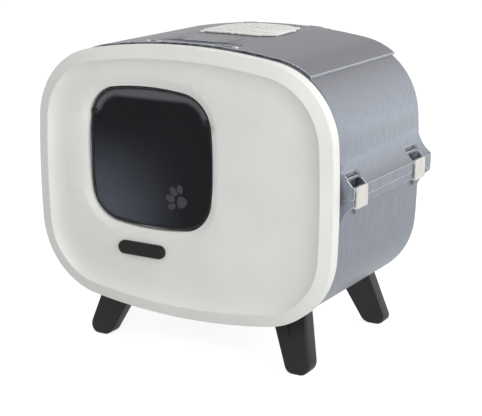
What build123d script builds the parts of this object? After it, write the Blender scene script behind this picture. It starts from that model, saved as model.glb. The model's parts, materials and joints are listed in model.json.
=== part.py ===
# Covered litter box with a round-cornered screen front, a swinging see-through door,
# a hinged top lid with a filter vent, a latched two-part shell and four splayed legs.
# Millimetres. +X is the viewer's right, +Y is the back, +Z is up, and the floor is Z = 0.
# Heights named here are over the panel's centre, and depths are behind the panel's crest.
import os
from math import cos, hypot, radians, sqrt

from build123d import *

os.makedirs("parts", exist_ok=True)

# Overall places and fits
panel_centre_z = 269.0
overall_depth = 330.0
front = -overall_depth / 2
floor_z = -panel_centre_z
wall = 3.0
fit_gap = 0.3
pin_play = 0.07
pin_seat_play = 0.02
overcut = 1.0

# Front panel
panel_half_width = 250.0
panel_half_height = 200.0
panel_corner = 116.0
panel_crown = 914.0
panel_side = 1449.0
panel_depth = 24.0
bevel_depth = 5.0
bevel_width = 17.6
crest_land = 1.2
dish_depth = 9.0
dish_width = 30.0
dish_steps = [(0.0, 0.0), (0.12, 0.34), (0.32, 0.66), (0.62, 0.9), (1.0, 1.0)]
plate_thickness = 4.0
plate_back = dish_depth + plate_thickness
skirt_wall = 4.0

# Doorway in the panel, left of the middle
door_x = -56.0
door_z = 31.0
door_half_width = 110.0
door_half_height = 106.5
door_corner = 54.0
door_crown = 430.0
door_side = 470.0
funnel_width = 13.0
funnel_depth = 5.5
tunnel_wall = 3.0
tunnel_end = 40.0
funnel_back = 17.0

# Swinging flap and its pivots
flap_gap = 2.5
flap_front = 20.5
flap_thickness = 3.0
flap_rim_width = 3.2
flap_rim_depth = 7.0
flap_pivot_z = 92.0
flap_pin_r = 2.0
flap_pin_seat = 2.4
flap_ear_r = 5.0
flap_ear_length = 10.0

# Pull grip under the doorway
grip_x = -66.0
grip_z = -105.6
grip_length = 81.0
grip_height = 20.0
grip_reach = 8.0
grip_round = 3.0
grip_screw_spacing = 50.0
grip_screw_r = 1.5
grip_screw_head_r = 3.2
grip_screw_head = 2.0
grip_screw_bite = 5.0

# Shell: hood above the seam, pan below it
shell_half_width = panel_half_width - 5.5
shell_half_height = panel_half_height - 1.0
shell_corner = panel_corner - 3.0
shell_crown = panel_crown
shell_side = panel_side
collar_inset = 4.0
collar_rear = 34.0
shell_rear = overall_depth - 20.0
shell_round = 9.0
seam = 5.0
sill_z = -82.0
sill_front = 27.0

# Flange round the seam
flange_front = 35.0
flange_reach = 20.0
flange_step = 0.6
flange_corner = 12.0
flange_taper = 0.2
flange_sink = 4.0
band_top = 20.0
band_bottom = -5.0
flare_steps = [(band_top, flange_reach), (28.0, 12.0), (40.0, 4.5), (58.0, -1.5)]
keel_steps = [(band_bottom, flange_reach - flange_step), (-13.0, 10.5), (-22.0, 4.0), (-34.0, -1.5)]
tongue_offset = 4.0
tongue_width = 3.0
tongue_height = 8.0
tongue_front = 85.0
groove_gap = 0.5

# Latches along the flange
latch_places = [59.5, shell_rear - 52.0]
latch_width = 35.0
latch_side_gap = 1.5
latch_inset = 13.0
latch_pivot_x = shell_half_width + latch_inset
latch_pivot_z = 14.0
latch_pin_r = 1.5
latch_knuckle_r = 4.6
latch_lug_half = 4.0
latch_lug_gap = 0.5
latch_lug_top = 17.0
latch_plate_gap = 2.5
latch_plate_thickness = 3.5
latch_top = 22.0
latch_edge = 1.0
latch_corner = 5.0
latch_hook_gap = 0.8
latch_hook_thickness = 3.0
latch_hook_inner = shell_half_width + 6.0
latch_web_half = 3.5
pocket_lip = shell_half_width + flange_reach - 3.0
pocket_inner = shell_half_width + 1.2
pocket_top = 38.0
pocket_drop = 40.0
catch_bottom = 28.5
catch_top = 33.0
catch_reach = shell_half_width + 7.5
latch_plate_inner = pocket_lip + latch_plate_gap
latch_half = latch_width / 2
pocket_half = latch_half + latch_side_gap

# Top lid, resting on the hood
lid_half_width = shell_half_width - 47.5
lid_front = 36.5
lid_rear = shell_rear - 1.0
lid_thickness = 2.6
lid_top = fit_gap + lid_thickness
opening_half_width = lid_half_width - 47.0
opening_front = 80.0
opening_rear = shell_rear - 22.0
opening_corner = 20.0
opening_low = shell_half_height - 49.0
lid_rim_gap = 2.0
lid_rim_wall = 2.5
lid_rim_drop = 10.0

# Lid hinge behind the hood
lid_pivot_y = shell_rear + 7.5
lid_pivot_z = shell_half_height - 7.0
lid_pin_r = 2.0
lid_knuckle_r = 6.5
lid_knuckle_half = 12.0
lug_r = 5.5
lug_length = 10.0
lug_gap = 0.5
lug_root = 14.0
hinge_x = 60.0

# Lift handle let into the lid
handle_half_span = 69.0
handle_pivot_y = 46.0
handle_pivot_z = shell_half_height - 2.0
handle_bar_front = 56.0
handle_bar_rear = 68.0
handle_thickness = 5.0
handle_arm_width = 9.0
handle_corner = 6.0
handle_pin_r = 1.6
handle_pin_hold = 6.0
handle_knuckle_r = 3.4
tray_side_gap = 2.2
tray_front_gap = 1.2
tray_wall = 2.0
tray_floor_z = handle_pivot_z - 13.0
tray_slot_gap = 1.3

# Filter vent on the lid
vent_y = shell_rear - 99.0
vent_half_width = 64.0
vent_half_depth = 61.0
vent_corner = 40.0
vent_thickness = 2.6
vent_tab_r = 4.5
vent_tab_in = 10.0
vent_hole = 5.6
vent_pitch = 9.0
vent_count = 11
well_inset = 8.0
well_wall = 2.0
well_depth = 14.0
well_floor = 2.0
well_hole = 19.0
well_pitch = 25.0
spigot_gap = 0.6
spigot_wall = 2.0
spigot_depth = 3.0
filter_gap = 0.6
filter_thickness = 8.0

# Legs
leg_floor_inner = 158.0
leg_floor_outer = 199.0
leg_slope_inner = 0.47
leg_slope_outer = 0.26
leg_foot_round = 15.0
leg_edge = 2.5
leg_depth = 26.0
leg_splay = 0.274
leg_height = 125.0
leg_y = {"front": 43.0, "rear": shell_rear - 7.0}
leg_lean = {"front": leg_splay, "rear": -leg_splay}
leg_screw_x = 150.0
leg_screw_y = {"front": 76.0, "rear": shell_rear - 14.0}
leg_screw_r = 2.4
leg_screw_head_r = 5.0
leg_screw_head = 3.0
leg_screw_length = 36.0
boss_r = 8.0
boss_top = 21.0 - shell_half_height
boss_depth = 20.0

# Screws that hold the panel to tabs inside the collar
tab_side_x = shell_half_width - 17.5
tab_end_z = shell_half_height - 19.5
tab_sides = [(tab_side_x, 80.0), (tab_side_x, -80.0)]
tab_ends = [(95.0, tab_end_z), (95.0, -tab_end_z)]
tab_places = tab_sides + tab_ends
tab_size = 15.0
tab_root = 7.0
tab_thickness = 3.0
tab_front = 20.0
post_r = 5.5
panel_screw_r = 1.4
panel_screw_head_r = 3.0
panel_screw_head = 2.0
panel_screw_bite = 5.0


# A plane facing the viewer at a depth behind the crest, centred on the panel
def facing(depth):
    return Plane(origin=(0, front + depth, panel_centre_z), x_dir=(1, 0, 0), z_dir=(0, -1, 0))


# A level plane at a height over the panel's centre, with its Y measured from the crest
def level(height):
    return Plane(origin=(0, front, panel_centre_z + height), x_dir=(1, 0, 0), z_dir=(0, 0, 1))


# A plane facing +X at a place along X, with depth as its first direction and height its second
def sideways(place):
    return Plane(origin=(place, front, panel_centre_z), x_dir=(0, 1, 0), z_dir=(1, 0, 0))


# Screen outline: four corner arcs joined by bowed top, bottom and side arcs, all tangent
def screen_outline(sizes, grow, centre, mode):
    half_width, half_height, corner, crown, side = [size + grow for size in sizes]
    crown_centre = half_height - crown
    side_centre = half_width - side
    from_crown = crown - corner
    from_side = side - corner
    apart = hypot(side_centre, crown_centre)
    along = (from_crown**2 - from_side**2 + apart**2) / (2 * apart)
    off = sqrt(from_crown**2 - along**2)
    corner_x = (side_centre * along - crown_centre * off) / apart
    corner_y = crown_centre - (crown_centre * along + side_centre * off) / apart
    top = Vector(corner_x, corner_y - crown_centre) * (crown / from_crown) + Vector(0, crown_centre)
    end = Vector(corner_x - side_centre, corner_y) * (side / from_side) + Vector(side_centre, 0)
    hub = Vector(corner_x, corner_y)
    middle = hub + ((top - hub) + (end - hub)).normalized() * corner

    def place(point, right, up):
        return (centre[0] + right * point.X, centre[1] + up * point.Y)

    with BuildLine() as curve:
        for up in (1, -1):
            ThreePointArc(
                place(top, -1, up), place(Vector(0, half_height), 1, up), place(top, 1, up)
            )
            for right in (1, -1):
                ThreePointArc(
                    place(top, right, up), place(middle, right, up), place(end, right, up)
                )
        for right in (1, -1):
            ThreePointArc(
                place(end, right, 1), place(Vector(half_width, 0), right, 1), place(end, right, -1)
            )
    make_face(curve.edges(), mode=mode)


def panel_outline(grow=0.0, mode=Mode.ADD):
    sizes = (panel_half_width, panel_half_height, panel_corner, panel_crown, panel_side)
    screen_outline(sizes, grow, (0, 0), mode)


def shell_outline(grow=0.0, mode=Mode.ADD):
    sizes = (shell_half_width, shell_half_height, shell_corner, shell_crown, shell_side)
    screen_outline(sizes, grow, (0, 0), mode)


def door_outline(grow=0.0, mode=Mode.ADD):
    sizes = (door_half_width, door_half_height, door_corner, door_crown, door_side)
    screen_outline(sizes, grow, (door_x, door_z), mode)


# Plan of the flange: front ends that taper out and round rear corners
def flange_plan(reach, mode=Mode.ADD):
    side = shell_half_width + reach
    root = shell_half_width - flange_sink
    taper = flange_front + flange_taper * (reach + flange_sink)
    corner = flange_corner + reach
    rear = shell_rear + reach
    turn = corner * (1 - cos(radians(45)))
    with BuildLine() as curve:
        Line((-root, flange_front), (root, flange_front))
        Line((-(side - corner), rear), (side - corner, rear))
        for right in (1, -1):
            Line((right * root, flange_front), (right * side, taper))
            Line((right * side, taper), (right * side, rear - corner))
            ThreePointArc(
                (right * side, rear - corner),
                (right * (side - turn), rear - turn),
                (right * (side - corner), rear),
            )
    make_face(curve.edges(), mode=mode)


# Solid between two depths, level with an offset of the shell
def shell_block(near, far, grow=0.0, mode=Mode.ADD):
    with BuildSketch(facing(near)) as profile:
        shell_outline(grow)
    extrude(profile.sketch, amount=near - far, mode=mode)


# Layer that follows the shell between two offsets, over a stretch of depth
def shell_layer(near, far, outer, inner, mode=Mode.ADD):
    with BuildSketch(facing(near)) as profile:
        shell_outline(outer)
        shell_outline(inner, mode=Mode.SUBTRACT)
    extrude(profile.sketch, amount=near - far, mode=mode)


def save(piece, name):
    piece.label = name
    export_step(piece, f"parts/{name}.step")


# Space inside the shell: the cabin, and the throat inside the collar
with BuildPart() as cabin:
    shell_block(collar_rear + wall, shell_rear - wall, -wall)
    fillet(cabin.faces().sort_by(Axis.Y)[-1].edges(), shell_round - wall)
with BuildPart() as throat:
    shell_block(plate_back - overcut, collar_rear + wall + overcut, -collar_inset - wall)

# Front panel: bevelled rim, dished field, funnel round the doorway and a tunnel behind it
flap_middle = flap_front + flap_thickness / 2
with BuildPart() as front_panel:
    with BuildSketch(facing(bevel_depth)):
        panel_outline()
    extrude(amount=bevel_depth - panel_depth)
    with BuildSketch(facing(bevel_depth)):
        panel_outline()
    with BuildSketch(facing(0)):
        panel_outline(-bevel_width)
    loft(ruled=True)
    with BuildSketch(facing(panel_depth)):
        panel_outline(-skirt_wall)
    extrude(amount=panel_depth - plate_back, mode=Mode.SUBTRACT)
    for share, drop in dish_steps:
        with BuildSketch(facing(dish_depth * drop)):
            panel_outline(-bevel_width - crest_land - dish_width * share)
    loft(mode=Mode.SUBTRACT)
    with BuildSketch(facing(tunnel_end)):
        door_outline(tunnel_wall)
    extrude(amount=tunnel_end - plate_back)
    with BuildSketch(facing(funnel_back)):
        door_outline(funnel_width)
    extrude(amount=funnel_back - plate_back)
    with BuildSketch(facing(dish_depth - overcut)):
        door_outline(funnel_width * (1 + overcut / funnel_depth))
    with BuildSketch(facing(dish_depth + funnel_depth)):
        door_outline()
    loft(ruled=True, mode=Mode.SUBTRACT)
    with BuildSketch(facing(tunnel_end + overcut)):
        door_outline()
    extrude(amount=tunnel_end + overcut, mode=Mode.SUBTRACT)
    for x, z in tab_places:
        with BuildSketch(facing(tab_front)):
            with Locations((x, z), (-x, z)):
                Circle(post_r)
        extrude(amount=tab_front - plate_back)
        with BuildSketch(facing(tab_front)):
            with Locations((x, z), (-x, z)):
                Circle(panel_screw_r + pin_seat_play)
        extrude(amount=panel_screw_bite + fit_gap, mode=Mode.SUBTRACT)
    with BuildSketch(sideways(door_x)):
        with Locations((flap_middle, flap_pivot_z)):
            Circle(flap_pin_r + pin_seat_play)
    extrude(amount=door_half_width + tunnel_wall + overcut, both=True, mode=Mode.SUBTRACT)
    with BuildSketch(facing(plate_back)):
        with Locations((grip_x, grip_z)):
            with GridLocations(grip_screw_spacing, 1, 2, 1):
                Circle(grip_screw_r + pin_seat_play)
    extrude(amount=plate_thickness + overcut, mode=Mode.SUBTRACT)
save(front_panel.part, "front_panel")

# Pull grip and the two screws that hold it from behind
with BuildPart() as pull_grip:
    with BuildSketch(facing(dish_depth)):
        with Locations((grip_x, grip_z)):
            SlotOverall(grip_length, grip_height)
    extrude(amount=grip_reach)
    fillet(pull_grip.faces().sort_by(Axis.Y)[0].edges(), grip_round)
    with BuildSketch(facing(dish_depth)):
        with Locations((grip_x, grip_z)):
            with GridLocations(grip_screw_spacing, 1, 2, 1):
                Circle(grip_screw_r + pin_seat_play)
    extrude(amount=grip_screw_bite + fit_gap, mode=Mode.SUBTRACT)
save(pull_grip.part, "pull_grip")
for side, name in ((-1, "left"), (1, "right")):
    screw_x = grip_x + side * grip_screw_spacing / 2
    with BuildPart() as grip_screw:
        with BuildSketch(facing(plate_back)):
            with Locations((screw_x, grip_z)):
                Circle(grip_screw_r)
        extrude(amount=plate_thickness + grip_screw_bite)
        with BuildSketch(facing(plate_back)):
            with Locations((screw_x, grip_z)):
                Circle(grip_screw_head_r)
        extrude(amount=-grip_screw_head)
    save(grip_screw.part, f"grip_screw_{name}")

# Flap: a clear sheet with a turned rim, and an ear at each pivot
pivot_rise = flap_pivot_z - door_z
pivot_half = door_half_width - door_side + sqrt(door_side**2 - pivot_rise**2)
ear_end = pivot_half - flap_gap
with BuildPart() as flap_door:
    with BuildSketch(facing(flap_front + flap_thickness)):
        door_outline(-flap_gap)
    extrude(amount=flap_thickness)
    with BuildSketch(facing(flap_middle + flap_rim_depth / 2)):
        door_outline(-flap_gap)
        door_outline(-flap_gap - flap_rim_width, mode=Mode.SUBTRACT)
    extrude(amount=flap_rim_depth)
    for side in (-1, 1):
        with BuildSketch(sideways(door_x + side * ear_end)):
            with Locations((flap_middle, flap_pivot_z)):
                Circle(flap_ear_r)
        extrude(amount=-side * flap_ear_length)
        with BuildSketch(sideways(door_x + side * door_half_width)):
            with Locations((flap_middle, flap_pivot_z)):
                Circle(flap_pin_r + pin_play)
        extrude(amount=-side * (door_half_width - ear_end + flap_ear_length), mode=Mode.SUBTRACT)
save(flap_door.part, "flap_door")
for side, name in ((-1, "left"), (1, "right")):
    with BuildPart() as flap_pin:
        with BuildSketch(sideways(door_x + side * (pivot_half + flap_pin_seat))):
            with Locations((flap_middle, flap_pivot_z)):
                Circle(flap_pin_r)
        extrude(amount=-side * (flap_pin_seat + flap_gap + flap_ear_length - overcut))
    save(flap_pin.part, f"flap_pin_{name}")


# Tabs inside the collar, each with a screw hole
def collar_tabs(up):
    with BuildPart(mode=Mode.PRIVATE) as tabs:
        with BuildSketch(facing(tab_front + tab_thickness)):
            for x, z in tab_sides:
                if z * up > 0:
                    with Locations((x + tab_root, z), (-x - tab_root, z)):
                        Rectangle(tab_size + 2 * tab_root, tab_size)
            for x, z in tab_ends:
                if z * up > 0:
                    with Locations((x, z + up * tab_root), (-x, z + up * tab_root)):
                        Rectangle(tab_size, tab_size + 2 * tab_root)
            shell_outline(-collar_inset - wall / 2, mode=Mode.INTERSECT)
            for x, z in tab_places:
                with Locations((x, z), (-x, z)):
                    Circle(panel_screw_r + pin_seat_play, mode=Mode.SUBTRACT)
        extrude(amount=tab_thickness)
    return tabs.part


# Boxes at the four latches, from one place outward and between two heights
def latch_boxes(inner, outer, half, low, high, mode):
    with BuildSketch(level(low)) as boxes:
        for place in latch_places:
            for right in (1, -1):
                with Locations((right * (inner + outer) / 2, place)):
                    Rectangle(outer - inner, 2 * half)
    extrude(boxes.sketch, amount=high - low, mode=mode)


# Ring under the flange that locates the hood on the pan
def tongue_ring(slack, height, mode):
    with BuildSketch(level(seam)) as ring:
        flange_plan(tongue_offset + tongue_width + slack)
        flange_plan(tongue_offset - slack, mode=Mode.SUBTRACT)
        with Locations((0, (tongue_front - slack) / 2)):
            Rectangle(4 * shell_half_width, tongue_front - slack, mode=Mode.SUBTRACT)
        if mode == Mode.ADD:
            for place in latch_places:
                with Locations((0, place)):
                    Rectangle(4 * shell_half_width, 2 * (pocket_half + overcut), mode=Mode.SUBTRACT)
    extrude(ring.sketch, amount=height, mode=mode)


flange_edge = shell_half_width + flange_reach
tray_front = handle_pivot_y - handle_knuckle_r - tray_front_gap
tray_rear = handle_bar_rear + tray_side_gap
tray_half = handle_half_span + tray_side_gap
tray_middle = (tray_front + tray_rear) / 2
tray_span = tray_rear - tray_front
opening_middle = (opening_front + opening_rear) / 2
opening_span = opening_rear - opening_front

# Hood: the shell over the seam, with the lid's opening, hinge lugs and latch pockets
with BuildPart() as hood:
    shell_block(collar_rear, shell_rear)
    fillet(hood.faces().sort_by(Axis.Y)[-1].edges(), shell_round)
    for height, reach in flare_steps:
        with BuildSketch(level(height)):
            flange_plan(reach)
    loft()
    with BuildSketch(level(seam)):
        flange_plan(flange_reach)
    extrude(amount=band_top - seam)
    shell_block(plate_back, collar_rear + overcut, -collar_inset)
    split(bisect_by=level(seam), keep=Keep.TOP)
    for side in (-1, 1):
        for along in (-1, 1):
            near = side * hinge_x + along * (lid_knuckle_half + lug_gap)
            with BuildSketch(sideways(near)):
                with Locations((lid_pivot_y, lid_pivot_z)):
                    Circle(lug_r)
                with BuildLine():
                    Polyline(
                        (shell_rear - wall / 2, lid_pivot_z - lug_root),
                        (lid_pivot_y, lid_pivot_z - lug_r),
                        (lid_pivot_y, lid_pivot_z),
                        (shell_rear - wall / 2, lid_pivot_z - lug_r),
                        close=True,
                    )
                make_face()
            extrude(amount=along * lug_length)
    latch_boxes(pocket_inner, flange_edge + overcut, pocket_half, seam - overcut, pocket_top, Mode.SUBTRACT)
    latch_boxes(pocket_inner - wall / 2, catch_reach, pocket_half, catch_bottom, catch_top, Mode.ADD)
    latch_boxes(
        pocket_inner - wall / 2,
        latch_pivot_x,
        latch_lug_half,
        2 * latch_pivot_z - latch_lug_top,
        latch_lug_top,
        Mode.ADD,
    )
    for place in latch_places:
        with BuildSketch(facing(place - latch_lug_half)):
            with Locations((latch_pivot_x, latch_pivot_z), (-latch_pivot_x, latch_pivot_z)):
                Circle(latch_knuckle_r)
        extrude(amount=-2 * latch_lug_half)
        with BuildSketch(facing(place - latch_half)):
            with Locations((latch_pivot_x, latch_pivot_z), (-latch_pivot_x, latch_pivot_z)):
                Circle(latch_pin_r + pin_seat_play)
        extrude(amount=-latch_width, mode=Mode.SUBTRACT)
    add(cabin.part, mode=Mode.SUBTRACT)
    add(throat.part, mode=Mode.SUBTRACT)
    add(collar_tabs(1))
    tongue_ring(groove_gap, tongue_height + groove_gap, Mode.SUBTRACT)
    with BuildSketch(level(opening_low)):
        with Locations((0, opening_middle)):
            RectangleRounded(2 * opening_half_width, opening_span, opening_corner)
        with Locations((0, tray_middle)):
            Rectangle(2 * (tray_half + tray_wall + tray_slot_gap), tray_span + 2 * (tray_wall + tray_slot_gap))
    extrude(amount=shell_half_height - opening_low + overcut, mode=Mode.SUBTRACT)
    with BuildSketch(sideways(0)):
        with Locations((lid_pivot_y, lid_pivot_z)):
            Circle(lid_pin_r + pin_seat_play)
    extrude(amount=shell_half_width, both=True, mode=Mode.SUBTRACT)
save(hood.part, "hood")

# Pan: the shell under the seam, with a front sill, screw bosses and latch pockets
with BuildPart() as leg_bosses:
    with BuildSketch(level(boss_top)):
        for y in leg_screw_y.values():
            with Locations((leg_screw_x, y), (-leg_screw_x, y)):
                Circle(boss_r)
    extrude(amount=-boss_depth)
    shell_block(collar_rear, shell_rear, -wall / 2, Mode.INTERSECT)
with BuildPart() as pan:
    shell_block(collar_rear, shell_rear)
    fillet(pan.faces().sort_by(Axis.Y)[-1].edges(), shell_round)
    for height, reach in keel_steps:
        with BuildSketch(level(height)):
            flange_plan(reach)
    loft()
    with BuildSketch(level(band_bottom)):
        flange_plan(flange_reach - flange_step)
    extrude(amount=seam - band_bottom)
    shell_block(plate_back, collar_rear + overcut, -collar_inset)
    split(bisect_by=level(seam), keep=Keep.BOTTOM)
    latch_boxes(
        pocket_inner, flange_edge + overcut, pocket_half, band_bottom - pocket_drop, band_bottom, Mode.SUBTRACT
    )
    latch_boxes(pocket_lip, flange_edge + overcut, pocket_half, band_bottom, seam + overcut, Mode.SUBTRACT)
    add(cabin.part, mode=Mode.SUBTRACT)
    add(throat.part, mode=Mode.SUBTRACT)
    with BuildSketch(facing(sill_front)):
        shell_outline(-collar_inset - wall / 2)
        with Locations((0, sill_z + shell_half_height)):
            Rectangle(4 * shell_half_width, 2 * shell_half_height, mode=Mode.SUBTRACT)
    extrude(amount=-wall)
    add(leg_bosses.part)
    add(collar_tabs(-1))
    tongue_ring(0, tongue_height, Mode.ADD)
    with BuildSketch(level(boss_top)):
        for y in leg_screw_y.values():
            with Locations((leg_screw_x, y), (-leg_screw_x, y)):
                Circle(leg_screw_r + pin_seat_play)
    extrude(amount=-boss_depth - wall, mode=Mode.SUBTRACT)
save(pan.part, "pan")

# Screws from the tabs into the panel's posts
for x, z in tab_places:
    for side, name in ((-1, "left"), (1, "right")):
        with BuildPart() as panel_screw:
            with BuildSketch(facing(tab_front + tab_thickness)):
                with Locations((side * x, z)):
                    Circle(panel_screw_r)
            extrude(amount=tab_thickness + panel_screw_bite)
            with BuildSketch(facing(tab_front + tab_thickness)):
                with Locations((side * x, z)):
                    Circle(panel_screw_head_r)
            extrude(amount=-panel_screw_head)
        row = "upper" if z > 0 else "lower"
        edge = "side" if (x, z) in tab_sides else "end"
        save(panel_screw.part, f"panel_screw_{row}_{edge}_{name}")

# Lid: a curved plate with a rim that drops into the opening, a handle tray and a filter well
well_half_width = vent_half_width - well_inset
well_half_depth = vent_half_depth - well_inset
well_corner = vent_corner - 18.0
with BuildPart() as lid_rim:
    shell_layer(opening_front, opening_rear, overcut, -lid_rim_drop)
    with BuildSketch(level(0)):
        with Locations((0, opening_middle)):
            RectangleRounded(
                2 * (opening_half_width - lid_rim_gap),
                opening_span - 2 * lid_rim_gap,
                opening_corner - lid_rim_gap,
            )
            RectangleRounded(
                2 * (opening_half_width - lid_rim_gap - lid_rim_wall),
                opening_span - 2 * (lid_rim_gap + lid_rim_wall),
                opening_corner - lid_rim_gap - lid_rim_wall,
                mode=Mode.SUBTRACT,
            )
    extrude(amount=2 * shell_half_height, mode=Mode.INTERSECT)
with BuildPart() as lid_well:
    shell_layer(opening_front, opening_rear, overcut, -well_depth - well_floor)
    with BuildSketch(level(0)):
        with Locations((0, vent_y)):
            RectangleRounded(
                2 * (well_half_width + well_wall), 2 * (well_half_depth + well_wall), well_corner + well_wall
            )
    extrude(amount=2 * shell_half_height, mode=Mode.INTERSECT)
with BuildPart() as well_space:
    shell_layer(opening_front, opening_rear, lid_top + overcut, -well_depth)
    with BuildSketch(level(0)):
        with Locations((0, vent_y)):
            RectangleRounded(2 * well_half_width, 2 * well_half_depth, well_corner)
    extrude(amount=2 * shell_half_height, mode=Mode.INTERSECT)
with BuildPart() as lid_tray:
    shell_block(tray_front - tray_wall, tray_rear + tray_wall, overcut)
    with BuildSketch(level(tray_floor_z - tray_wall)):
        with Locations((0, tray_middle)):
            Rectangle(2 * (tray_half + tray_wall), tray_span + 2 * tray_wall)
    extrude(amount=shell_half_height, mode=Mode.INTERSECT)
with BuildPart() as top_lid:
    with BuildSketch(facing(lid_front)):
        shell_outline(lid_top)
        shell_outline(fit_gap, mode=Mode.SUBTRACT)
        with Locations((0, shell_half_height)):
            Rectangle(2 * lid_half_width, shell_half_height, mode=Mode.INTERSECT)
    extrude(amount=lid_front - lid_rear)
    with BuildSketch(facing(lid_rear - overcut)):
        shell_outline(lid_top)
        shell_outline(fit_gap, mode=Mode.SUBTRACT)
        with Locations((hinge_x, shell_half_height), (-hinge_x, shell_half_height)):
            Rectangle(2 * lid_knuckle_half, shell_half_height, mode=Mode.INTERSECT)
    extrude(amount=lid_rear - overcut - lid_pivot_y)
    for side in (-1, 1):
        with BuildSketch(sideways(side * hinge_x - lid_knuckle_half)):
            with Locations((lid_pivot_y, lid_pivot_z)):
                Circle(lid_knuckle_r)
        extrude(amount=2 * lid_knuckle_half)
    with BuildSketch(sideways(0)):
        with Locations((lid_pivot_y, lid_pivot_z)):
            Circle(lid_pin_r + pin_play)
    extrude(amount=lid_half_width, both=True, mode=Mode.SUBTRACT)
    add(lid_rim.part)
    add(lid_well.part)
    add(lid_tray.part)
    add(well_space.part, mode=Mode.SUBTRACT)
    with BuildSketch(level(tray_floor_z)):
        with Locations((0, tray_middle)):
            Rectangle(2 * tray_half, tray_span)
    extrude(amount=shell_half_height, mode=Mode.SUBTRACT)
    with BuildSketch(level(0)):
        with Locations((0, vent_y)):
            with GridLocations(well_pitch, well_pitch, 4, 4):
                Rectangle(well_hole, well_hole)
    extrude(amount=shell_half_height, mode=Mode.SUBTRACT)
    with BuildSketch(sideways(0)):
        with Locations((handle_pivot_y, handle_pivot_z)):
            Circle(handle_pin_r + pin_seat_play)
    extrude(amount=tray_half + tray_wall + overcut, both=True, mode=Mode.SUBTRACT)
save(top_lid.part, "top_lid")

# Hinge pins of the lid
for side, name in ((-1, "left"), (1, "right")):
    pin_half = lid_knuckle_half + lug_gap + lug_length
    with BuildPart() as lid_pin:
        with BuildSketch(sideways(side * hinge_x - pin_half)):
            with Locations((lid_pivot_y, lid_pivot_z)):
                Circle(lid_pin_r)
        extrude(amount=2 * pin_half)
    save(lid_pin.part, f"lid_pin_{name}")

# Vent cover: a perforated plate that follows the lid, with corner tabs and a spigot
with BuildPart() as spigot:
    shell_layer(opening_front, opening_rear, lid_top + fit_gap + overcut, -spigot_depth)
    with BuildSketch(level(0)):
        with Locations((0, vent_y)):
            RectangleRounded(
                2 * (well_half_width - spigot_gap), 2 * (well_half_depth - spigot_gap), well_corner - spigot_gap
            )
            RectangleRounded(
                2 * (well_half_width - spigot_gap - spigot_wall),
                2 * (well_half_depth - spigot_gap - spigot_wall),
                well_corner - spigot_gap - spigot_wall,
                mode=Mode.SUBTRACT,
            )
    extrude(amount=2 * shell_half_height, mode=Mode.INTERSECT)
with BuildPart() as vent_cover:
    shell_layer(opening_front, opening_rear, lid_top + fit_gap + vent_thickness, lid_top + fit_gap)
    with BuildSketch(level(0)):
        with Locations((0, vent_y)):
            RectangleRounded(2 * vent_half_width, 2 * vent_half_depth, vent_corner)
            for end in (-1, 1):
                with Locations(
                    (end * (vent_half_width - vent_tab_in), end * (vent_half_depth - vent_tab_in))
                ):
                    Circle(vent_tab_r)
    extrude(amount=2 * shell_half_height, mode=Mode.INTERSECT)
    add(spigot.part)
    with BuildSketch(level(0)):
        with Locations((0, vent_y)):
            with GridLocations(vent_pitch, vent_pitch, vent_count, vent_count):
                Rectangle(vent_hole, vent_hole)
    extrude(amount=2 * shell_half_height, mode=Mode.SUBTRACT)
save(vent_cover.part, "vent_cover")

# Filter pad in the well
with BuildPart() as filter_pad:
    filter_low = -well_depth + fit_gap
    shell_layer(opening_front, opening_rear, filter_low + filter_thickness, filter_low)
    with BuildSketch(level(0)):
        with Locations((0, vent_y)):
            RectangleRounded(
                2 * (well_half_width - filter_gap), 2 * (well_half_depth - filter_gap), well_corner - filter_gap
            )
    extrude(amount=2 * shell_half_height, mode=Mode.INTERSECT)
save(filter_pad.part, "filter_pad")

# Lift handle: a bar between two arms, lying flat in its tray
handle_top = handle_pivot_z + handle_thickness / 2
with BuildPart() as lift_handle:
    with BuildSketch(level(handle_top - handle_thickness)) as bar:
        with Locations((0, (handle_pivot_y + handle_bar_rear) / 2)):
            Rectangle(2 * handle_half_span, handle_bar_rear - handle_pivot_y)
        fillet(bar.vertices().group_by(Axis.Y)[-1], handle_corner)
        with Locations((0, (handle_pivot_y + handle_bar_front) / 2 - overcut / 2)):
            Rectangle(
                2 * (handle_half_span - handle_arm_width),
                handle_bar_front - handle_pivot_y + overcut,
                mode=Mode.SUBTRACT,
            )
    extrude(amount=handle_thickness)
    for side in (-1, 1):
        with BuildSketch(sideways(side * handle_half_span)):
            with Locations((handle_pivot_y, handle_pivot_z)):
                Circle(handle_knuckle_r)
        extrude(amount=-side * handle_arm_width)
    with BuildSketch(sideways(0)):
        with Locations((handle_pivot_y, handle_pivot_z)):
            Circle(handle_pin_r + pin_play)
    extrude(amount=handle_half_span + overcut, both=True, mode=Mode.SUBTRACT)
save(lift_handle.part, "lift_handle")
for side, name in ((-1, "left"), (1, "right")):
    with BuildPart() as handle_pin:
        with BuildSketch(sideways(side * (tray_half + tray_wall))):
            with Locations((handle_pivot_y, handle_pivot_z)):
                Circle(handle_pin_r)
        extrude(amount=-side * (tray_wall + tray_side_gap + handle_pin_hold))
    save(handle_pin.part, f"handle_pin_{name}")

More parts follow.
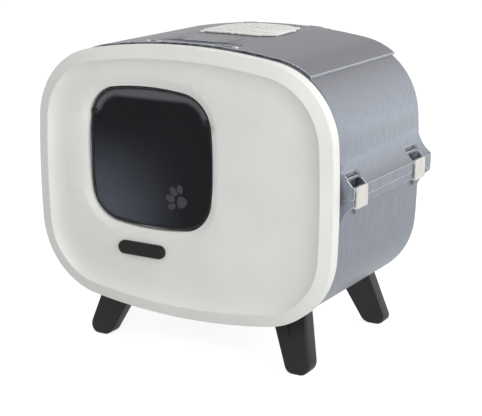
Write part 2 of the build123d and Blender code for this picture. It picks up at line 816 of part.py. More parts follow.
# Latches: an outer plate, two knuckles on the pin and a hook under the pan's flange
hook_top = band_bottom - latch_hook_gap
hook_low = hook_top - latch_hook_thickness
plate_outer = latch_plate_inner + latch_plate_thickness
for side, side_name in ((-1, "left"), (1, "right")):
    for place, end_name in zip(latch_places, ("front", "rear")):
        with BuildPart() as latch:
            with BuildSketch(facing(place - latch_half)):
                with Locations((side * (latch_plate_inner + plate_outer) / 2, (hook_low + latch_top) / 2)):
                    Rectangle(latch_plate_thickness, latch_top - hook_low)
                with Locations((side * (latch_hook_inner + plate_outer) / 2, (hook_low + hook_top) / 2)):
                    Rectangle(plate_outer - latch_hook_inner, latch_hook_thickness)
            extrude(amount=-latch_width)
            fillet(latch.edges().filter_by(Axis.X).group_by(Axis.Z)[-1], latch_corner)
            fillet(latch.faces().sort_by(Axis.X)[-1 if side > 0 else 0].edges(), latch_edge)
            for along in (-1, 1):
                with BuildSketch(facing(place + along * (latch_lug_half + latch_lug_gap))):
                    with Locations((side * latch_pivot_x, latch_pivot_z)):
                        Circle(latch_knuckle_r)
                    with Locations((side * (latch_pivot_x + latch_plate_inner + overcut) / 2, latch_pivot_z)):
                        Rectangle(latch_plate_inner + overcut - latch_pivot_x, 2 * latch_web_half)
                extrude(amount=-along * (latch_half - latch_lug_half - latch_lug_gap))
            with BuildSketch(facing(place - latch_half - overcut)):
                with Locations((side * latch_pivot_x, latch_pivot_z)):
                    Circle(latch_pin_r + pin_play)
            extrude(amount=-latch_width - 2 * overcut, mode=Mode.SUBTRACT)
        save(latch.part, f"latch_{end_name}_{side_name}")
        with BuildPart() as latch_pin:
            with BuildSketch(facing(place - latch_half)):
                with Locations((side * latch_pivot_x, latch_pivot_z)):
                    Circle(latch_pin_r)
            extrude(amount=-latch_width)
        save(latch_pin.part, f"latch_pin_{end_name}_{side_name}")

# Legs: tapered blades, splayed outward, cut to the pan's underside
for side, side_name in ((-1, "left"), (1, "right")):
    for end_name in ("front", "rear"):
        near = leg_y[end_name]
        lean = leg_lean[end_name] * leg_height
        with BuildPart() as leg:
            with BuildSketch(facing(0)) as profile:
                with BuildLine():
                    Polyline(
                        (side * leg_floor_inner, floor_z),
                        (side * leg_floor_outer, floor_z),
                        (side * (leg_floor_outer - leg_slope_outer * leg_height), floor_z + leg_height),
                        (side * (leg_floor_inner - leg_slope_inner * leg_height), floor_z + leg_height),
                        close=True,
                    )
                make_face()
                fillet(profile.vertices().group_by(Axis.Y)[0], leg_foot_round)
            extrude(amount=-overall_depth)
            with BuildSketch(sideways(0)):
                with BuildLine():
                    Polyline(
                        (near, floor_z),
                        (near + leg_depth, floor_z),
                        (near + leg_depth + lean, floor_z + leg_height),
                        (near + lean, floor_z + leg_height),
                        close=True,
                    )
                make_face()
            extrude(amount=panel_half_width, both=True, mode=Mode.INTERSECT)
            faces_by_depth = leg.faces().sort_by(Axis.Y)
            chamfer(faces_by_depth[0].edges() + faces_by_depth[-1].edges(), leg_edge)
            shell_block(0, overall_depth, fit_gap, Mode.SUBTRACT)
            with BuildSketch(level(boss_top)):
                with Locations((side * leg_screw_x, leg_screw_y[end_name])):
                    Circle(leg_screw_r + pin_seat_play)
            extrude(amount=-leg_screw_length - overcut, mode=Mode.SUBTRACT)
        save(leg.part, f"leg_{end_name}_{side_name}")
        with BuildPart() as leg_screw:
            with BuildSketch(level(boss_top)):
                with Locations((side * leg_screw_x, leg_screw_y[end_name])):
                    Circle(leg_screw_r)
            extrude(amount=-leg_screw_length)
            with BuildSketch(level(boss_top)):
                with Locations((side * leg_screw_x, leg_screw_y[end_name])):
                    Circle(leg_screw_head_r)
            extrude(amount=leg_screw_head)
        save(leg_screw.part, f"leg_screw_{end_name}_{side_name}")
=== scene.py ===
import json
import math
import bmesh
import bpy
from mathutils import Matrix, Vector
from mathutils.bvhtree import BVHTree

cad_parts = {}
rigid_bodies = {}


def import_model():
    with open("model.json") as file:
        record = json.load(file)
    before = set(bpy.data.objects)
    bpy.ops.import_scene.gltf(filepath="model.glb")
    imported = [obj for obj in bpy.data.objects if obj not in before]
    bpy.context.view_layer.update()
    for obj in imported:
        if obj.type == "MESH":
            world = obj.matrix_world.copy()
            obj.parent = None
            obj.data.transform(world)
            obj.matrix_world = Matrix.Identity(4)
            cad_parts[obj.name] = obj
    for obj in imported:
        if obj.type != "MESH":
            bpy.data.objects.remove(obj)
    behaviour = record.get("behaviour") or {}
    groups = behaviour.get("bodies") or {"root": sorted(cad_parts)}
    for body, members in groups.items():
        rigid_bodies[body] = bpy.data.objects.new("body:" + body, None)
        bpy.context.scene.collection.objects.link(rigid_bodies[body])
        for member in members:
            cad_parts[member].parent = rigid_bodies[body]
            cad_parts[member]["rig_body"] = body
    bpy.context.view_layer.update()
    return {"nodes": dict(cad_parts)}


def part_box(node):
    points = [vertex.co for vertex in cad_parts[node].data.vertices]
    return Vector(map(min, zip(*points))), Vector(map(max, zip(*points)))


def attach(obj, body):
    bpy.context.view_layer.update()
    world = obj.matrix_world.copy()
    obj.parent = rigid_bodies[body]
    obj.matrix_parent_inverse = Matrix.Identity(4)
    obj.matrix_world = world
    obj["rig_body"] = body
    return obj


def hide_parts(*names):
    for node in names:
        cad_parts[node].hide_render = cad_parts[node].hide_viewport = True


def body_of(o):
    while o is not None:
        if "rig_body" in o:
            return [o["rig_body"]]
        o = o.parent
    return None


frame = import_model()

# Covered litter box: round-cornered white front with a smoked flap, brushed blue-grey shell
# on a latched pan, four splayed legs. Metres, +X is the viewer's right, the floor is Z = 0.


print("frame loaded:", len(frame["nodes"]), "parts")

# Places that the model's own source uses, in metres
body = {
    "doorX": -0.056,
    "doorZ": 0.300,
    "doorHalfWidth": 0.110,
    "doorHalfHeight": 0.1065,
    "doorCorner": 0.054,
    "flapGap": 0.0025,
    "flapFrontY": -0.1445,
    "flapBackY": -0.1415,
    "flapPinZ": 0.361,
}


# A node's output that Python's own signs work on, and that makes any other node
class Wire:
    def __init__(self, tree, plug=None):
        self.tree, self.plug = tree, plug

    def __getitem__(self, name):
        return Wire(self.tree, self.plug.node.outputs[name])

    def node(self, kind, settings=None, values=None, output=0):
        made = self.tree.nodes.new(kind)
        for name, setting in (settings or {}).items():
            setattr(made, name, setting)
        for name, value in (values or {}).items():
            if isinstance(value, Wire):
                self.tree.links.new(value.plug, made.inputs[name])
            else:
                made.inputs[name].default_value = value
        return Wire(self.tree, made.outputs[output])

    def sum(self, operation, *values):
        return self.node("ShaderNodeMath", {"operation": operation}, dict(enumerate(values)))

    def __add__(self, other):
        return self.sum("ADD", self, other)

    def __sub__(self, other):
        return self.sum("SUBTRACT", self, other)

    def __rsub__(self, other):
        return self.sum("SUBTRACT", other, self)

    def __mul__(self, other):
        return self.sum("MULTIPLY", self, other)

    def __pow__(self, other):
        return self.sum("POWER", self, other)

    def __abs__(self):
        return self.sum("ABSOLUTE", self)

    __radd__, __rmul__ = __add__, __mul__

    def least(self, other):
        return self.sum("MINIMUM", self, other)

    def most(self, other):
        return self.sum("MAXIMUM", self, other)

    def ease(self, low, high):  # 0 below low, 1 above high, smooth between
        return self.node("ShaderNodeMapRange", {"interpolation_type": "SMOOTHSTEP"},
                         {"Value": self, "From Min": low, "From Max": high})

    def tint(self, first, second):  # the first colour where this is 0, the second where it is 1
        return self.node("ShaderNodeMix", {"data_type": "RGBA"}, {0: self, 6: first, 7: second}, 2)

    def stretch(self, sizes):  # a place scaled along each axis
        return self.node("ShaderNodeVectorMath", {"operation": "MULTIPLY"}, {0: self, 1: sizes})

    def noise(self, scale, detail=2.0, roughness=0.5):
        return self.node("ShaderNodeTexNoise", None,
                         {"Vector": self, "Scale": scale, "Detail": detail, "Roughness": roughness})


def grey(level):
    return (level, level, level, 1.0)


# Starts a finish: its material, a wire to build from, its shader, object place and rounded normal
def startFinish(name, fixed, edge):
    finish = bpy.data.materials.new(name)
    finish.use_nodes = True
    shader = finish.node_tree.nodes["Principled BSDF"]
    for socket, value in fixed.items():
        shader.inputs[socket].default_value = value
    wire = Wire(finish.node_tree)
    place = wire.node("ShaderNodeTexCoord", output="Object")
    rounded = wire.node("ShaderNodeBevel", {"samples": 6}, {"Radius": edge})
    return finish, wire, shader, place, rounded


def feed(wire, shader, links):
    for socket, source in links.items():
        wire.tree.links.new(source.plug, shader.inputs[socket])


def relief(wire, height, depth, rounded, strength):
    return wire.node("ShaderNodeBump", None,
                     {"Height": height, "Distance": depth, "Strength": strength, "Normal": rounded})


# 1 on edges, from how far the rounded normal leaves the flat one; the legs use it as wear that hands and floors rub,
# the other finishes as a painted edge highlight
def edgeWearAndHighlight(wire, rounded, low, high):
    flat = wire.node("ShaderNodeNewGeometry", output="Normal")
    agree = wire.node("ShaderNodeVectorMath", {"operation": "DOT_PRODUCT"}, {0: rounded, 1: flat}, "Value")
    return (1 - agree).ease(low, high)


# Front panel: satin warm white, with a painted highlight along its edges
def frontWhite():
    look = {"field": (0.80, 0.80, 0.765, 1), "shade": (0.765, 0.765, 0.73, 1), "rim": (0.87, 0.87, 0.84, 1),
            "cloudScale": 9.0, "speckScale": 1500.0, "speckDepth": 0.00006, "edge": 0.0012}
    finish, wire, shader, place, rounded = startFinish("satinWarmWhite", {
        "Specular IOR Level": 0.35, "Coat Roughness": 0.35, "Coat Weight": 0.08}, look["edge"])
    cloud = place.noise(look["cloudScale"], 3.0)
    speck = place.noise(look["speckScale"], 2.0, 0.6)
    colour = cloud.ease(0.35, 0.65).tint(look["field"], look["shade"])
    # Painted highlight: a paler band along the edges
    colour = edgeWearAndHighlight(wire, rounded, 0.004, 0.12).tint(colour, look["rim"])
    feed(wire, shader, {
        "Base Color": colour,
        "Roughness": 0.42 + speck * 0.08 + cloud * 0.06,
        "Normal": relief(wire, speck, look["speckDepth"], rounded, 0.5),
    })
    return finish


# Shell: brushed grain runs up the sides, and front to back over the roof; up-facing faces painted darker as painted
# shade, near black on the handle bar
def shellBlueGrey(name, edgeHighlightShare, isBar=False):
    look = {"dark": (0.150, 0.166, 0.194, 1), "pale": (0.236, 0.258, 0.296, 1), "roof": (0.150, 0.146, 0.158, 1),
            "rim": (0.90, 0.92, 0.95, 1), "bar": (0.060, 0.062, 0.070, 1), "metal": 0.72,
            "upright": (900.0, 900.0, 30.0), "broad": (210.0, 210.0, 5.0), "level": (900.0, 40.0, 900.0),
            "grainDepth": 0.00012, "edge": 0.0016}
    finish, wire, shader, place, rounded = startFinish(name, {
        "Metallic": look["metal"], "Specular IOR Level": 0.45, "Coat Weight": 0.1, "Coat Roughness": 0.3}, look["edge"])
    facing = wire.node("ShaderNodeSeparateXYZ", None, {"Vector": place["Normal"]})
    roof = facing["Z"].ease(0.25, 0.92)
    upright = place.stretch(look["upright"]).noise(1.0, 3.0, 0.6)
    broad = place.stretch(look["broad"]).noise(1.0, 2.0)
    level = place.stretch(look["level"]).noise(1.0, 3.0, 0.6)
    grain = upright * (1 - roof) + level * roof
    blend = (grain * 0.8 + broad * 0.2).ease(0.3, 0.7)
    colour = blend.tint(look["dark"], look["pale"])
    # Painted shade: up-facing faces darker, near black on the handle bar
    colour = (roof * 0.8).tint(colour, look["bar"] if isBar else look["roof"])
    # Painted highlight: edges near white, as strong as the share argument sets
    colour = (edgeWearAndHighlight(wire, rounded, 0.01, 0.2) * edgeHighlightShare).tint(colour, look["rim"])
    feed(wire, shader, {
        "Base Color": colour,
        "Roughness": 0.40 + grain * 0.14,
        "Normal": relief(wire, grain, look["grainDepth"], rounded, 0.45),
    })
    return finish


# Legs: sparked black, dusty in patches and worn on the edges
def legBlack():
    look = {"deep": (0.0045, 0.0045, 0.0043, 1), "worn": (0.09, 0.09, 0.09, 1), "dust": (0.008, 0.008, 0.0077, 1),
            "cloudScale": 22.0, "speckScale": 1300.0, "speckDepth": 0.00012, "edge": 0.0022}
    finish, wire, shader, place, rounded = startFinish("sparkedBlack", {"Specular IOR Level": 0.32}, look["edge"])
    speck = place.noise(look["speckScale"], 3.0, 0.7)
    cloud = place.noise(look["cloudScale"], 3.0)
    colour = cloud.ease(0.4, 0.7).tint(look["deep"], look["dust"])
    colour = (edgeWearAndHighlight(wire, rounded, 0.01, 0.25) * 0.6).tint(colour, look["worn"])
    feed(wire, shader, {
        "Base Color": colour,
        "Roughness": 0.42 + speck * 0.16,
        "Normal": relief(wire, speck, look["speckDepth"], rounded, 0.6),
    })
    return finish


# Pull grip: soft matt black
def gripBlack():
    look = {"deep": (0.0085, 0.0083, 0.008, 1), "pale": (0.0145, 0.014, 0.0135, 1),
            "speckScale": 1700.0, "speckDepth": 0.00008, "edge": 0.0012}
    finish, wire, shader, place, rounded = startFinish("softBlack", {
        "Specular IOR Level": 0.18, "Sheen Weight": 0.02}, look["edge"])
    speck = place.noise(look["speckScale"], 2.0, 0.6)
    feed(wire, shader, {
        "Base Color": speck.tint(look["deep"], look["pale"]),
        "Roughness": 0.5 + speck * 0.12,
        "Normal": relief(wire, speck, look["speckDepth"], rounded, 0.5),
    })
    return finish


# Latches: satin cream, with a painted highlight along the edges
def latchCream():
    look = {"field": (0.63, 0.61, 0.567, 1), "shade": (0.575, 0.555, 0.512, 1), "rim": (0.76, 0.745, 0.70, 1),
            "cloudScale": 60.0, "speckScale": 1500.0, "speckDepth": 0.00005, "edge": 0.0010}
    finish, wire, shader, place, rounded = startFinish("satinCream", {"Specular IOR Level": 0.45}, look["edge"])
    speck = place.noise(look["speckScale"], 2.0)
    cloud = place.noise(look["cloudScale"], 2.0)
    colour = cloud.ease(0.35, 0.7).tint(look["field"], look["shade"])
    # Painted highlight: paler cream along the edges
    colour = edgeWearAndHighlight(wire, rounded, 0.01, 0.2).tint(colour, look["rim"])
    feed(wire, shader, {
        "Base Color": colour,
        "Roughness": 0.36 + speck * 0.1,
        "Normal": relief(wire, speck, look["speckDepth"], rounded, 0.5),
    })
    return finish


# Vent grille: matt off-white
def ventWhite():
    look = {"field": (0.86, 0.86, 0.83, 1), "shade": (0.78, 0.78, 0.75, 1),
            "cloudScale": 45.0, "speckScale": 1200.0, "speckDepth": 0.00006, "edge": 0.0005}
    finish, wire, shader, place, rounded = startFinish("mattOffWhite", {"Specular IOR Level": 0.35}, look["edge"])
    speck = place.noise(look["speckScale"], 3.0, 0.6)
    cloud = place.noise(look["cloudScale"], 2.0)
    feed(wire, shader, {
        "Base Color": cloud.ease(0.35, 0.7).tint(look["field"], look["shade"]),
        "Roughness": 0.5 + speck * 0.14,
        "Normal": relief(wire, speck, look["speckDepth"], rounded, 0.5),
    })
    return finish


# Pins, screws and the handle's caps: plated steel
def steelPlated():
    look = {"field": (0.56, 0.56, 0.57, 1), "dull": (0.38, 0.38, 0.39, 1),
            "speckScale": 900.0, "speckDepth": 0.00003, "edge": 0.0002}
    finish, wire, shader, place, rounded = startFinish("platedSteel", {"Metallic": 1.0}, look["edge"])
    speck = place.noise(look["speckScale"], 3.0)
    feed(wire, shader, {
        "Base Color": speck.ease(0.3, 0.7).tint(look["field"], look["dull"]),
        "Roughness": 0.24 + speck * 0.2,
        "Normal": relief(wire, speck, look["speckDepth"], rounded, 0.4),
    })
    return finish


# How far inside the door's outline a point lies, in metres, and that point split into its axes
def doorInset(wire, place, grow):
    spot = wire.node("ShaderNodeSeparateXYZ", None, {"Vector": place})
    corner = body["doorCorner"] + grow
    across = abs(spot["X"] - body["doorX"]) - (body["doorHalfWidth"] + grow - corner)
    along = abs(spot["Z"] - body["doorZ"]) - (body["doorHalfHeight"] + grow - corner)
    outside = (across.most(0.0) ** 2.0 + along.most(0.0) ** 2.0) ** 0.5
    return corner - outside - across.most(along).least(0.0), spot


# Smoked sheet: dark, with painted light on it (a bluish haze low on the left and a paler arch at the top), a painted
# highlight line along the rim's edge below the pins, and a clear rim.
# Each reach is where its zone starts and ends, in metres; "Up" ones count from the pins' height.
def flapSmoke():
    look = {"deep": (0.0046, 0.0050, 0.0075, 1), "haze": (0.085, 0.095, 0.120, 1), "arch": (0.155, 0.150, 0.165, 1),
            "clear": (0.022, 0.023, 0.027, 1), "edge": (0.62, 0.63, 0.65, 1), "cloudScale": 18.0, "speckScale": 1200.0}
    reach = {"proud": (0.0001, 0.0004), "rim": (0.0022, 0.0034), "hazeHigh": (0.205, 0.355), "hazeWide": (-0.155, 0.015),
             "arch": (0.012, 0.020), "archUp": (-0.004, 0.008), "line": (0.0004, 0.0018), "lineUp": (-0.004, 0.0)}
    finish, wire, shader, place, rounded = startFinish("smokedClear", {"Specular IOR Level": 0.14, "IOR": 1.45}, 0.0007)
    inset, spot = doorInset(wire, place, -body["flapGap"])
    height = spot["Z"] - body["flapPinZ"]
    proud = (body["flapFrontY"] - spot["Y"]).most(spot["Y"] - body["flapBackY"]).ease(*reach["proud"])
    rim = proud.most(1 - inset.ease(*reach["rim"]))
    # Painted light: a bluish haze low on the left of the sheet
    haze = (1 - spot["Z"].ease(*reach["hazeHigh"])) * (1 - spot["X"].ease(*reach["hazeWide"]))
    cloud = place.noise(look["cloudScale"], 3.0)
    # Painted light: a paler arch along the top, inside the door outline
    arch = (1 - inset.ease(*reach["arch"])) * height.ease(*reach["archUp"])
    colour = (haze * (0.75 + cloud * 0.5)).tint(look["deep"], look["haze"])
    colour = (arch * 0.75).tint(colour, look["arch"])
    colour = rim.tint(colour, look["clear"])
    # Painted highlight: a bright line along the rim's edge below the pins, and on rounded edges
    line = (1 - inset.ease(*reach["line"])) * (1 - height.ease(*reach["lineUp"])) * proud
    colour = (line * 0.7).most(edgeWearAndHighlight(wire, rounded, 0.02, 0.2)).tint(colour, look["edge"])
    speck = place.noise(look["speckScale"], 2.0)
    feed(wire, shader, {
        "Base Color": colour,
        "Alpha": 0.94 - rim * 0.1,
        "Roughness": 0.10 + cloud * 0.08 + speck * 0.03,
        "Normal": relief(wire, cloud, 0.0002, rounded, 0.15),
    })
    return finish


# Paw mark: the sheet's own colour, frosted
def pawFrost():
    look = {"field": (0.043, 0.045, 0.052, 1), "pale": (0.062, 0.064, 0.072, 1),
            "speckScale": 1400.0, "speckDepth": 0.00006, "edge": 0.0002}
    finish, wire, shader, place, rounded = startFinish("frostedMark", {"Specular IOR Level": 0.2}, look["edge"])
    speck = place.noise(look["speckScale"], 3.0, 0.7)
    feed(wire, shader, {
        "Base Color": speck.ease(0.3, 0.7).tint(look["field"], look["pale"]),
        "Roughness": 0.6 + speck * 0.2,
        "Normal": relief(wire, speck, look["speckDepth"], rounded, 0.6),
    })
    return finish


# Filter pad: open cells painted darker as shade in the pores, with pale strands between them
def padFoam():
    look = {"deep": (0.34, 0.34, 0.32, 1), "strand": (0.70, 0.70, 0.67, 1),
            "cellScale": 620.0, "cellDepth": 0.0006, "edge": 0.0003}
    finish, wire, shader, place, rounded = startFinish("openFoam", {"Specular IOR Level": 0.2}, look["edge"])
    cell = wire.node("ShaderNodeTexVoronoi", {"feature": "DISTANCE_TO_EDGE"},
                     {"Vector": place, "Scale": look["cellScale"]})
    # Painted shade: the cell hollows take the darker colour, the strands the pale one
    strand = 1 - cell.ease(0.02, 0.22)
    feed(wire, shader, {
        "Base Color": strand.tint(look["deep"], look["strand"]),
        "Roughness": 0.85 + strand * 0.1,
        "Normal": relief(wire, strand, look["cellDepth"], rounded, 0.9),
    })
    return finish


finishes = {
    "panel_white": frontWhite(),
    "shell_grey": shellBlueGrey("brushedBlueGrey", 0.85),
    "flap_smoke": flapSmoke(),
    "grip_black": gripBlack(),
    "leg_black": legBlack(),
    "latch_cream": latchCream(),
    "vent_white": ventWhite(),
    "filter_foam": padFoam(),
    "steel": steelPlated(),
}
pawFinish = pawFrost()
barFinish = shellBlueGrey("brushedBar", 1.0, True)
print("finishes made:", len(finishes) + 2)

# How a part's own mesh is dressed: vertices merged, slivers dissolved, edges kept sharp past an angle
skin = {
    "merge": 0.000004,
    "sliver": 0.0000005,
    "crease": 30,
    "creases": {"front_panel": 32, "hood": 28, "pan": 28, "top_lid": 28},
    "slots": {
        "front_panel": "panel_white",
        "hood": "shell_grey",
        "pan": "shell_grey",
        "top_lid": "shell_grey",
        "lift_handle": "shell_grey",
        "flap_door": "flap_smoke",
        "pull_grip": "grip_black",
        "vent_cover": "vent_white",
        "filter_pad": "filter_foam",
    },
}


def slotOf(name):
    if name in skin["slots"]:
        return skin["slots"][name]
    if name.startswith("latch_") and "pin" not in name:
        return "latch_cream"
    if name.startswith("leg_") and "screw" not in name:
        return "leg_black"
    return "steel"


# A smooth-shaded, merged copy of a part's own mesh, which then stands for it
def dressPart(name):
    source = frame["nodes"][name]
    mesh = source.data.copy()
    mesh.name = name + "Skin"
    shape = bmesh.new()
    shape.from_mesh(mesh)
    bmesh.ops.remove_doubles(shape, verts=shape.verts, dist=skin["merge"])
    bmesh.ops.dissolve_degenerate(shape, edges=shape.edges, dist=skin["sliver"])
    shape.to_mesh(mesh)
    shape.free()
    mesh.shade_smooth()
    mesh.set_sharp_from_angle(angle=math.radians(skin["creases"].get(name, skin["crease"])))
    mesh.materials.clear()
    mesh.materials.append(barFinish if name == "lift_handle" else finishes[slotOf(name)])
    piece = bpy.data.objects.new(name + "Skin", mesh)
    bpy.context.scene.collection.objects.link(piece)
    even = piece.modifiers.new("evenShading", "WEIGHTED_NORMAL")
    even.keep_sharp = True
    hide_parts(name)
    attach(piece, body_of(source)[0])


for name, source in frame["nodes"].items():
    if name == "filter_pad":  # its foam is made below
        continue
    if slotOf(name) == "steel":
        source.data.materials.clear()
        source.data.materials.append(finishes["steel"])
    else:
        dressPart(name)
print("parts dressed")


# Puts a new shape into the scene, shaded smooth with edges sharp past the crease in degrees
def keepPiece(name, shape, finish, bodyName, crease=40):
    mesh = bpy.data.meshes.new(name)
    bmesh.ops.recalc_face_normals(shape, faces=shape.faces)
    shape.to_mesh(mesh)
    shape.free()
    mesh.shade_smooth()
    mesh.set_sharp_from_angle(angle=math.radians(crease))
    mesh.materials.append(finish)
    piece = bpy.data.objects.new(name, mesh)
    bpy.context.scene.collection.objects.link(piece)
    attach(piece, bodyName)
    return piece


# Paw mark: one rounded heel pad and four toes on an arc, frosted onto the flap
def pawMark():
    mark = {"x": -0.0035, "z": 0.2400, "aim": 152.0, "rise": 0.0003, "sink": 0.0002,
            "heel": 0.0150, "heelSizes": (1.0, 1.12), "heelSoft": 0.80, "heelSteps": 7,
            "toe": 0.0056, "toeSizes": (1.35, 0.95), "toeSides": 20, "toeArc": 0.0205, "spread": 35.0,
            "innerToe": 1.05, "outerToe": 0.92, "outerReach": 0.94}
    shape = bmesh.new()

    def padAt(sides, radius, spot, turn, sizes, soft=0):
        verts = bmesh.ops.create_circle(shape, cap_ends=True, segments=sides, radius=radius)["verts"]
        if soft:
            edges = {edge for vert in verts for edge in vert.link_edges}
            verts = bmesh.ops.bevel(shape, geom=list(verts) + list(edges), offset=soft, segments=mark["heelSteps"],
                                    affect="VERTICES", profile=0.5, material=-1)["verts"]
        faces = {face for vert in verts for face in vert.link_faces}
        raised = bmesh.ops.extrude_face_region(shape, geom=list(faces))["geom"]
        top = [item for item in raised if isinstance(item, bmesh.types.BMVert)]
        bmesh.ops.translate(shape, verts=top, vec=(0, 0, mark["rise"] + mark["sink"]))
        kept = {vert for face in faces if face.is_valid for vert in face.verts}
        pad = list(kept | set(top) | {vert for vert in verts if vert.is_valid})
        bmesh.ops.scale(shape, verts=pad, vec=(sizes[0], sizes[1], 1))
        bmesh.ops.rotate(shape, verts=pad, cent=(0, 0, 0), matrix=Matrix.Rotation(turn, 3, "Z"))
        bmesh.ops.translate(shape, verts=pad, vec=(spot[0], spot[1], 0))

    aim = math.radians(mark["aim"])
    padAt(3, mark["heel"], (0, 0), aim, mark["heelSizes"], mark["heel"] * mark["heelSoft"])
    for step in (-1.5, -0.5, 0.5, 1.5):
        angle = aim + math.radians(mark["spread"] * step)
        isInner = abs(step) < 1
        reach = mark["toeArc"] * (1.0 if isInner else mark["outerReach"])
        size = mark["toe"] * (mark["innerToe"] if isInner else mark["outerToe"])
        padAt(mark["toeSides"], size, (reach * math.cos(angle), reach * math.sin(angle)), angle, mark["toeSizes"])
    stand = Matrix.Translation((mark["x"], body["flapFrontY"] + mark["sink"], mark["z"]))
    bmesh.ops.transform(shape, matrix=stand @ Matrix.Rotation(math.radians(90), 4, "X"), verts=shape.verts)
    keepPiece("pawMark", shape, pawFinish, "flap")


pawMark()
print("paw mark made")


# Filter pad: a soft foam block with a low crown, in the well under the grille
def filterFoam():
    low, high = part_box("filter_pad")
    pad = {"shy": 0.0006, "corner": 0.018, "cornerSteps": 6, "round": 0.0016, "roundSteps": 3,
           "crown": 0.0012, "crownInset": 0.16}
    middle = (low + high) / 2
    size = high - low
    shape = bmesh.new()
    bmesh.ops.create_cube(shape, size=1.0)
    bmesh.ops.scale(shape, verts=shape.verts, vec=(
        size.x - 2 * pad["shy"], size.y - 2 * pad["shy"], size.z - pad["crown"] - pad["shy"]))
    upright = [edge for edge in shape.edges if abs(edge.verts[0].co.z - edge.verts[1].co.z) > size.z / 3]
    bmesh.ops.bevel(shape, geom=upright, offset=pad["corner"], segments=pad["cornerSteps"], affect="EDGES",
                    profile=0.5, material=-1)
    ends = [face for face in shape.faces if abs(face.normal.z) > 0.9]
    rims = list({edge for face in ends for edge in face.edges})
    bmesh.ops.bevel(shape, geom=rims, offset=pad["round"], segments=pad["roundSteps"], affect="EDGES",
                    profile=0.5, material=-1)
    ends = [face for face in shape.faces if abs(face.normal.z) > 0.99]
    bmesh.ops.inset_region(shape, faces=ends, thickness=size.x * pad["crownInset"], use_even_offset=True)
    crown = [face for face in shape.faces if face.normal.z > 0.99 and len(face.verts) > 8]
    bmesh.ops.translate(shape, verts=list({vert for face in crown for vert in face.verts}), vec=(0, 0, pad["crown"]))
    bmesh.ops.translate(shape, verts=shape.verts, vec=(middle.x, middle.y, middle.z - pad["crown"] / 2))
    bodyName = body_of(frame["nodes"]["filter_pad"])[0]
    piece = keepPiece("filterFoamPad", shape, finishes["filter_foam"], bodyName)
    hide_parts("filter_pad")


filterFoam()
print("filter pad made")


# Domed caps over the ends of the handle's pins, set a little way into the roof
def handleCaps():
    cap = {"across": 0.0742, "y": -0.1200, "radius": 0.0036, "sides": 24, "rise": 0.0013, "sink": 0.0012,
           "round": 0.0008, "roundSteps": 3, "dimple": 0.0014, "dimpleDeep": 0.0007}
    lid = bmesh.new()
    lid.from_mesh(frame["nodes"]["top_lid"].data)
    roof = BVHTree.FromBMesh(lid)
    lid.free()
    bodyName = body_of(frame["nodes"]["top_lid"])[0]
    for side, word in ((-1, "Left"), (1, "Right")):
        top = roof.ray_cast(Vector((side * cap["across"], cap["y"], 1.0)), Vector((0, 0, -1)))[0]
        shape = bmesh.new()
        bmesh.ops.create_circle(shape, cap_ends=True, segments=cap["sides"], radius=cap["radius"])
        raised = bmesh.ops.extrude_face_region(shape, geom=shape.faces[:])["geom"]
        raised = [item for item in raised if isinstance(item, bmesh.types.BMVert)]
        bmesh.ops.translate(shape, verts=raised, vec=(0, 0, cap["rise"] + cap["sink"]))
        crown = [face for face in shape.faces if face.calc_center_median().z > cap["rise"]]
        bmesh.ops.bevel(shape, geom=list({edge for face in crown for edge in face.edges}), offset=cap["round"],
                        segments=cap["roundSteps"], affect="EDGES", profile=0.5, material=-1)
        crown = max(shape.faces, key=lambda face: face.calc_center_median().z)
        bmesh.ops.inset_region(shape, faces=[crown], thickness=cap["dimple"] * 0.6)
        bmesh.ops.translate(shape, verts=crown.verts, vec=(0, 0, -cap["dimpleDeep"]))
        bmesh.ops.translate(shape, verts=shape.verts, vec=(top.x, top.y, top.z - cap["sink"]))
        keepPiece("handleCap" + word, shape, finishes["steel"], bodyName)


handleCaps()
print("handle caps made")


# Pale studio floor, white to the camera, that keeps the soft shadow under the legs
def studioFloor():
    floor = {"radius": 14.0, "sides": 96, "white": 0.45, "lift": 0.83, "bounce": 0.66}
    shape = bmesh.new()
    bmesh.ops.create_circle(shape, cap_ends=True, segments=floor["sides"], radius=floor["radius"])
    mesh = bpy.data.meshes.new("studioFloor")
    shape.to_mesh(mesh)
    shape.free()
    finish = bpy.data.materials.new("paleFloor")
    finish.use_nodes = True
    tree = finish.node_tree
    tree.nodes.remove(tree.nodes["Principled BSDF"])
    wire = Wire(tree)
    path = wire.node("ShaderNodeLightPath", output="Is Camera Ray")
    seen = path.most(path["Is Glossy Ray"]).most(path["Is Transmission Ray"])
    lit = wire.node("ShaderNodeBsdfDiffuse", None, {"Color": grey(floor["white"])})
    glow = wire.node("ShaderNodeEmission", None, {"Color": grey(1.0), "Strength": floor["lift"]})
    white = wire.node("ShaderNodeAddShader", None, {0: lit, 1: glow})
    plain = wire.node("ShaderNodeBsdfDiffuse", None, {"Color": grey(floor["bounce"])})
    mixed = wire.node("ShaderNodeMixShader", None, {0: seen, 1: plain, 2: white})
    tree.links.new(mixed.plug, tree.nodes["Material Output"].inputs["Surface"])
    mesh.materials.append(finish)
    piece = bpy.data.objects.new("studioFloor", mesh)
    bpy.context.scene.collection.objects.link(piece)


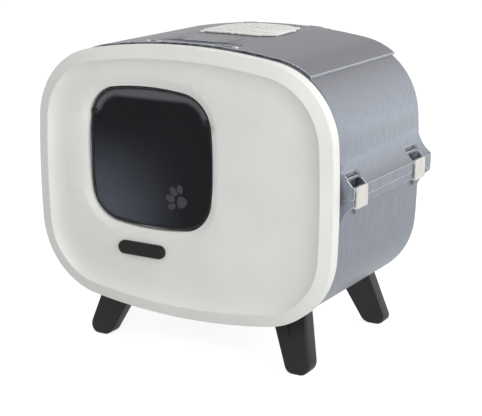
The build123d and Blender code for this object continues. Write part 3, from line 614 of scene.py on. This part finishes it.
# Soft daylight round the object, white where the camera or a reflection meets it
def studioWorld():
    sky = {"light": (0.97, 0.98, 1.0, 1), "strength": 0.42}
    world = bpy.data.worlds.new("studio")
    bpy.context.scene.world = world
    world.use_nodes = True
    tree = world.node_tree
    wire = Wire(tree)
    path = wire.node("ShaderNodeLightPath", output="Is Camera Ray")
    seen = path.most(path["Is Glossy Ray"]).most(path["Is Transmission Ray"])
    soft = wire.node("ShaderNodeBackground", None, {"Color": sky["light"], "Strength": sky["strength"]})
    white = wire.node("ShaderNodeBackground", None, {"Color": grey(1.0), "Strength": 1.0})
    mixed = wire.node("ShaderNodeMixShader", None, {0: seen, 1: soft, 2: white})
    tree.links.new(mixed.plug, tree.nodes["World Output"].inputs["Surface"])


# Soft lamps: the main one on the right, one in front, two behind on the right and one above
def studioLamps():
    lamps = {
        "lampRight": {"at": (2.6, -0.9, 1.3), "size": 1.5, "power": 35.0},
        "lampRear": {"at": (1.75, 2.1, 1.35), "size": 2.6, "power": 23.0},
        "lampLow": {"at": (1.2, 1.9, 0.16), "size": 0.3, "power": 1.5},
        "lampFront": {"at": (0.9, -2.8, 1.5), "size": 1.6, "power": 25.0},
        "lampAbove": {"at": (0.2, 0.2, 2.4), "size": 1.6, "power": 8.0},
    }
    aim = Vector((0, 0, 0.25))
    for name, lamp in lamps.items():
        light = bpy.data.lights.new(name, "AREA")
        light.size, light.energy = lamp["size"], lamp["power"]
        holder = bpy.data.objects.new(name, light)
        holder.location = lamp["at"]
        holder.rotation_euler = (aim - holder.location).to_track_quat("-Z", "Y").to_euler()
        bpy.context.scene.collection.objects.link(holder)


def studioCamera():
    view = {"at": (1.03986, -1.73926, 0.72740), "turn": (75.41, 0.0, 30.61), "lens": 100.98, "sensor": 36.0,
            "near": 0.05, "far": 60.0}
    lens = bpy.data.cameras.new("photoCamera")
    lens.sensor_width, lens.lens = view["sensor"], view["lens"]
    lens.clip_start, lens.clip_end = view["near"], view["far"]
    camera = bpy.data.objects.new("photoCamera", lens)
    camera.location = view["at"]
    camera.rotation_euler = [math.radians(angle) for angle in view["turn"]]
    bpy.context.scene.collection.objects.link(camera)
    bpy.context.scene.camera = camera


studioFloor()
studioWorld()
studioLamps()
studioCamera()
bpy.context.scene.view_settings.view_transform = "Standard"
print("studio set")
